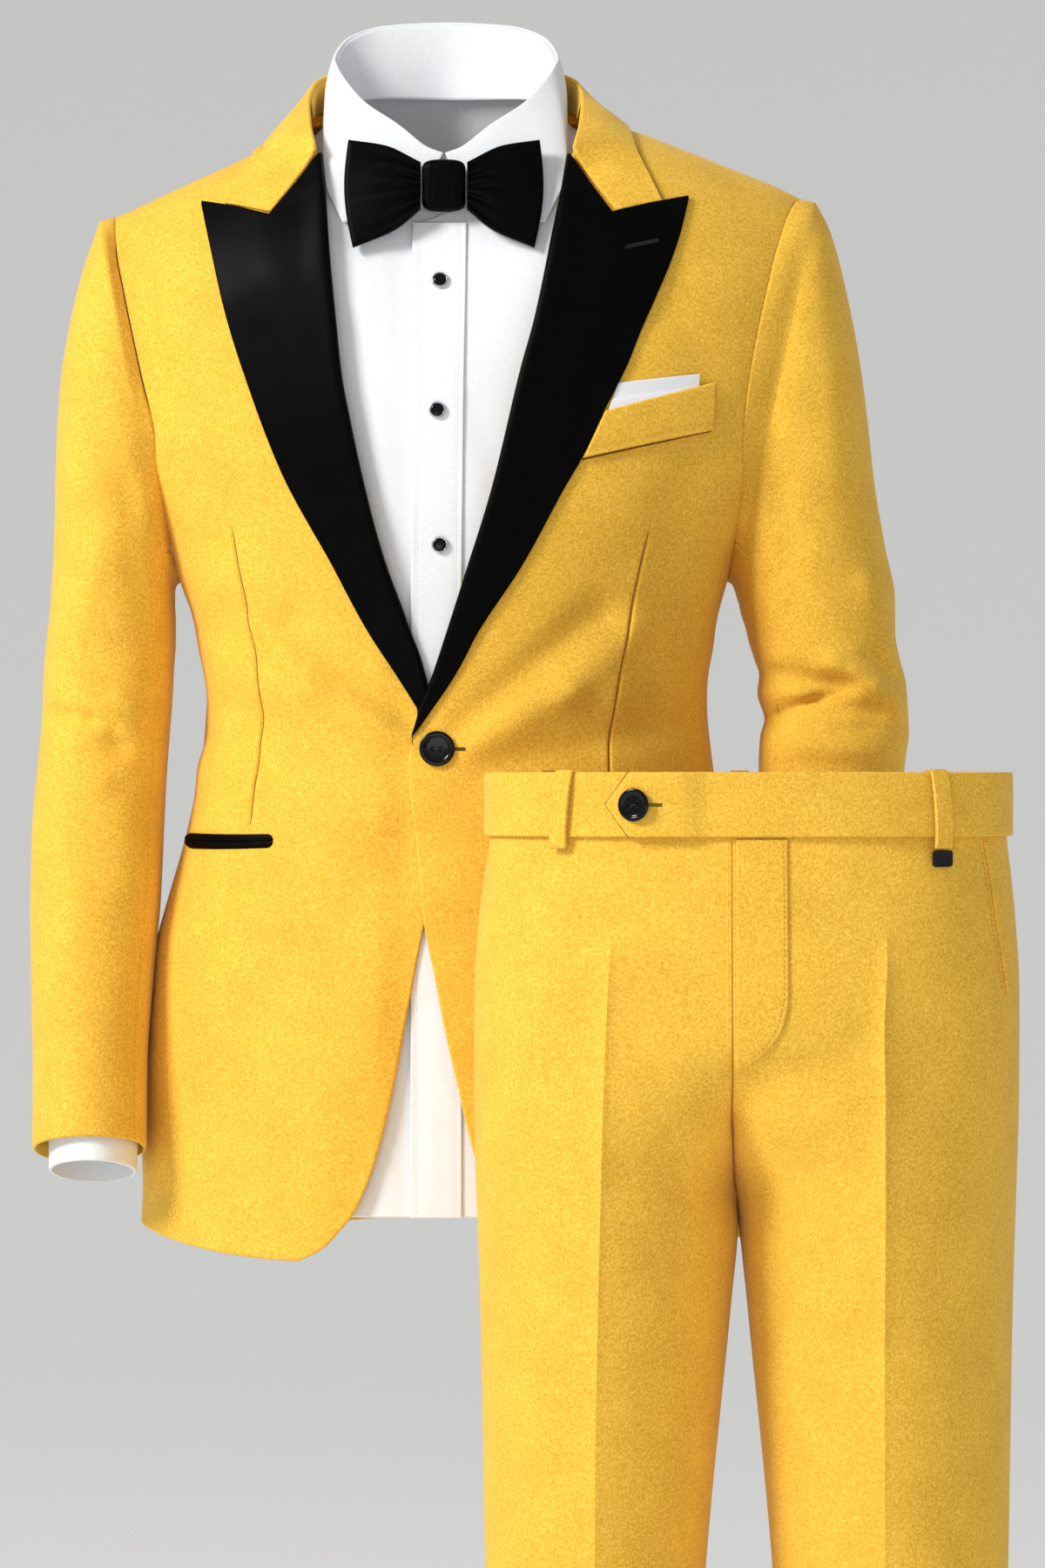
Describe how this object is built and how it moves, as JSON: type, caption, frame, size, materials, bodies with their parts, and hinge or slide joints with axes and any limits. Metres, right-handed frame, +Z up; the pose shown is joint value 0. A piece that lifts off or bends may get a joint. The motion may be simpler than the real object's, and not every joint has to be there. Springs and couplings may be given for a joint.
{
  "type": "tuxedo",
  "caption": "Peak-lapel dinner jacket, filled out with no wearer, over a dress shirt and bow tie, with the matching flat-front trousers standing in front of it.",
  "frame": {"origin": "where the unseen wearer or stand holds the outfit: on the upright line through the neck, mid-depth, a little above the front of the shirt collar", "axes": "+Z up, the outfit faces -Y, +X to the viewer's right; azimuth 0 is the picture's view"},
  "size_m": [0.6544, 0.4796, 1.5735],
  "materials": {
    "wool_yellow": "fine matt worsted wool, golden yellow",
    "satin_black": "black silk satin with a soft sheen",
    "cotton_white": "fine white cotton poplin, matt",
    "button_black": "polished black",
    "metal_black": "black, half gloss"
  },
  "bodies": {
    "root": {"jacket_front_right": "wool_yellow", "jacket_front_left": "wool_yellow", "jacket_back_right": "wool_yellow", "jacket_back_left": "wool_yellow", "jacket_sleeve_right": "wool_yellow", "jacket_sleeve_left": "wool_yellow", "jacket_collar_fall": "wool_yellow", "jacket_collar_stand": "wool_yellow", "breast_welt": "wool_yellow", "trouser_front_right": "wool_yellow", "trouser_front_left": "wool_yellow", "trouser_back_right": "wool_yellow", "trouser_back_left": "wool_yellow", "waistband_right": "wool_yellow", "waistband_left": "wool_yellow", "trouser_fly": "wool_yellow", "trouser_pocket_edge_left": "wool_yellow", "belt_loop_1": "wool_yellow", "belt_loop_2": "wool_yellow", "belt_loop_3": "wool_yellow", "belt_loop_4": "wool_yellow", "belt_loop_5": "wool_yellow", "lapel_right": "satin_black", "lapel_left": "satin_black", "hip_besom_upper": "satin_black", "hip_besom_lower": "satin_black", "bow_wing_right": "satin_black", "bow_wing_left": "satin_black", "bow_knot": "satin_black", "shirt_front_right": "cotton_white", "shirt_front_left": "cotton_white", "shirt_back_right": "cotton_white", "shirt_back_left": "cotton_white", "shirt_sleeve_right": "cotton_white", "shirt_sleeve_left": "cotton_white", "shirt_cuff_right": "cotton_white", "shirt_cuff_left": "cotton_white", "shirt_placket": "cotton_white", "shirt_collar_stand": "cotton_white", "shirt_collar_fall": "cotton_white", "pocket_square": "cotton_white", "jacket_button": "button_black", "waist_button": "button_black", "shirt_stud_1": "button_black", "shirt_stud_2": "button_black", "shirt_stud_3": "button_black", "loop_metal_tab": "metal_black"}
  },
  "joints": []
}
